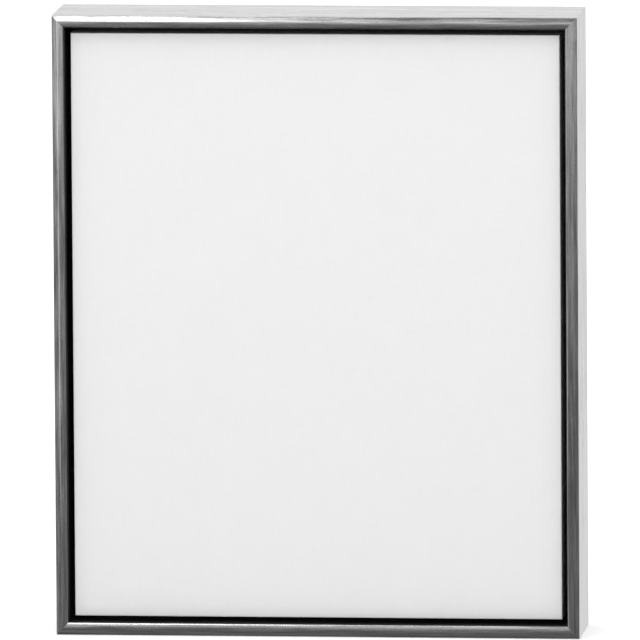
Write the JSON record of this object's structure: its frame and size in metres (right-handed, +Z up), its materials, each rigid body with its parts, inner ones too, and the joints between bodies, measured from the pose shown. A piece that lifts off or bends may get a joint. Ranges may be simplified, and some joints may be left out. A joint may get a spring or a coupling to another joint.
{
  "type": "floating frame",
  "caption": "Thin mitred floater frame with a stretched blank canvas standing free inside it, screwed from behind, with two swinging D-ring hangers.",
  "frame": {"origin": "bottom centre of the frame's box, on the underside of the bottom rail, midway between the front face and the hanging hardware's furthest point", "axes": "+Z up the frame, +X across it to the right as seen from the front, +Y from the front to the wall side; the canvas faces -Y"},
  "size_m": [0.273, 0.0586, 0.3238],
  "materials": {
    "silver_leaf": "bright silver leaf over wood, streaked lengthwise, black inside",
    "canvas": "white acrylic primed cotton canvas",
    "pine": "planed bare pine",
    "beech": "sawn bare beech",
    "zinc": "bright zinc plate",
    "zinc_screw": "zinc plated screw",
    "steel": "blued steel strip",
    "rubber": "soft black rubber"
  },
  "bodies": {
    "frame": {"rail_top": "silver_leaf", "stretcher_bar_top": "pine", "canvas_screw_top_1": "zinc_screw", "canvas_screw_top_2": "zinc_screw", "rail_right": "silver_leaf", "stretcher_bar_right": "pine", "canvas_screw_right_1": "zinc_screw", "canvas_screw_right_2": "zinc_screw", "rail_bottom": "silver_leaf", "stretcher_bar_bottom": "pine", "canvas_screw_bottom_1": "zinc_screw", "canvas_screw_bottom_2": "zinc_screw", "rail_left": "silver_leaf", "stretcher_bar_left": "pine", "canvas_screw_left_1": "zinc_screw", "canvas_screw_left_2": "zinc_screw", "canvas_cloth": "canvas", "v_nail_top_right_outer": "steel", "v_nail_top_right_inner": "steel", "corner_key_top_right_1": "beech", "corner_key_top_right_2": "beech", "v_nail_bottom_right_outer": "steel", "v_nail_bottom_right_inner": "steel", "corner_key_bottom_right_1": "beech", "corner_key_bottom_right_2": "beech", "v_nail_bottom_left_outer": "steel", "v_nail_bottom_left_inner": "steel", "corner_key_bottom_left_1": "beech", "corner_key_bottom_left_2": "beech", "v_nail_top_left_outer": "steel", "v_nail_top_left_inner": "steel", "corner_key_top_left_1": "beech", "corner_key_top_left_2": "beech", "hanger_strap_left": "zinc", "hanger_screw_left": "zinc_screw", "wall_bumper_left": "rubber", "hanger_strap_right": "zinc", "hanger_screw_right": "zinc_screw", "wall_bumper_right": "rubber"},
    "ring_left": {"hanger_ring_left": "zinc"},
    "ring_right": {"hanger_ring_right": "zinc"}
  },
  "joints": [
    {"name": "ring_left", "type": "hinge", "parent": "frame", "child": "ring_left", "pos_m": [-0.1255, 0.02715, 0.21587], "axis": [1, 0, 0], "range_deg": [0, 180]},
    {"name": "ring_right", "type": "hinge", "parent": "frame", "child": "ring_right", "pos_m": [0.1255, 0.02715, 0.21587], "axis": [1, 0, 0], "range_deg": [0, 180]}
  ]
}
